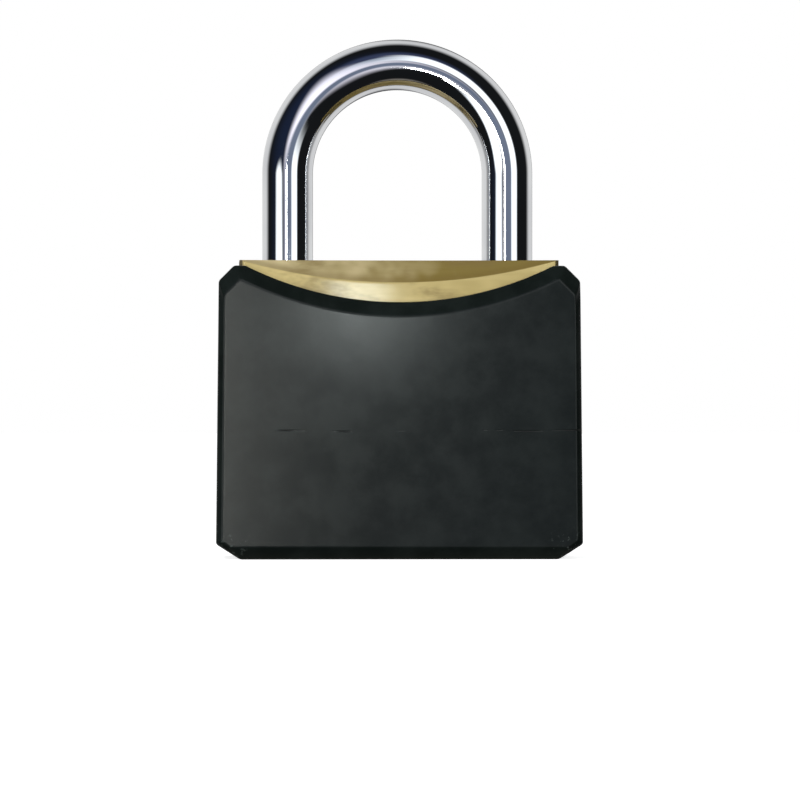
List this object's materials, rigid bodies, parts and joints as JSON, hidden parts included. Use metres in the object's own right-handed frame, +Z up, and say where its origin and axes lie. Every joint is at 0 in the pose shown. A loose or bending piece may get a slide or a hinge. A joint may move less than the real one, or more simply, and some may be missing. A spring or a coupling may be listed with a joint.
{
  "type": "padlock",
  "caption": "Rectangular padlock: brass body in a black plastic jacket with a scooped rim, round chromed shackle locked at both legs, turning disc-detainer core.",
  "frame": {"origin": "middle of the flat foot of the jacket, under the lock's bottom face", "axes": "+Z up along the shackle legs, +X across the width towards the toe leg, -Y out of the front face"},
  "size_m": [0.0574, 0.024, 0.0819],
  "materials": {
    "brass_body": "satin, brushed along the width",
    "black_jacket": "satin moulded, faintly mottled",
    "chrome_shackle": "polished",
    "screw_steel": "zinc plated",
    "spring_steel": "drawn wire",
    "pin_steel": "ground",
    "ball_steel": "polished",
    "core_steel": "turned",
    "hard_steel": "hardened, dark",
    "core_brass": "turned",
    "disc_brass": "stamped"
  },
  "bodies": {
    "housing": {"lock_body": "brass_body", "jacket": "black_jacket", "jacket_screws": "screw_steel", "heel_retaining_pin": "pin_steel", "core_retaining_pin": "pin_steel", "cross_bore_plug": "brass_body"},
    "shackle": {"shackle": "chrome_shackle", "shackle_spring": "spring_steel"},
    "core": {"core_barrel": "core_brass", "core_face": "core_brass", "drive_cam": "core_steel", "anti_drill_disc": "hard_steel", "sidebar": "hard_steel", "disc_1": "disc_brass", "disc_2": "disc_brass", "disc_3": "disc_brass", "disc_4": "disc_brass", "disc_5": "disc_brass", "disc_6": "disc_brass", "disc_7": "disc_brass", "spacer_1": "core_steel", "spacer_2": "core_steel", "spacer_3": "core_steel", "spacer_4": "core_steel", "spacer_5": "core_steel", "spacer_6": "core_steel"},
    "ball_toe": {"locking_ball_toe": "ball_steel"},
    "ball_heel": {"locking_ball_heel": "ball_steel"}
  },
  "joints": [
    {"name": "core_turn", "type": "hinge", "parent": "housing", "child": "core", "pos_m": [0, 0, 0.02], "axis": [0, 0, 1], "range_deg": [0, 90]},
    {"name": "shackle_lift", "type": "slide", "parent": "housing", "child": "shackle", "axis": [0, 0, 1], "range_m": [0, 0.014], "deforming": ["shackle_spring"]},
    {"name": "ball_toe_slide", "type": "slide", "parent": "housing", "child": "ball_toe", "axis": [-1, 0, 0], "range_m": [0, 0.0043]},
    {"name": "ball_heel_slide", "type": "slide", "parent": "housing", "child": "ball_heel", "axis": [1, 0, 0], "range_m": [0, 0.0043]}
  ],
  "couplings": [
    {"joint": "core_turn", "follows": "shackle_lift", "rad_per_m": 112.2},
    {"joint": "ball_toe_slide", "follows": "shackle_lift", "ratio": 0.30714},
    {"joint": "ball_heel_slide", "follows": "shackle_lift", "ratio": 0.30714}
  ]
}
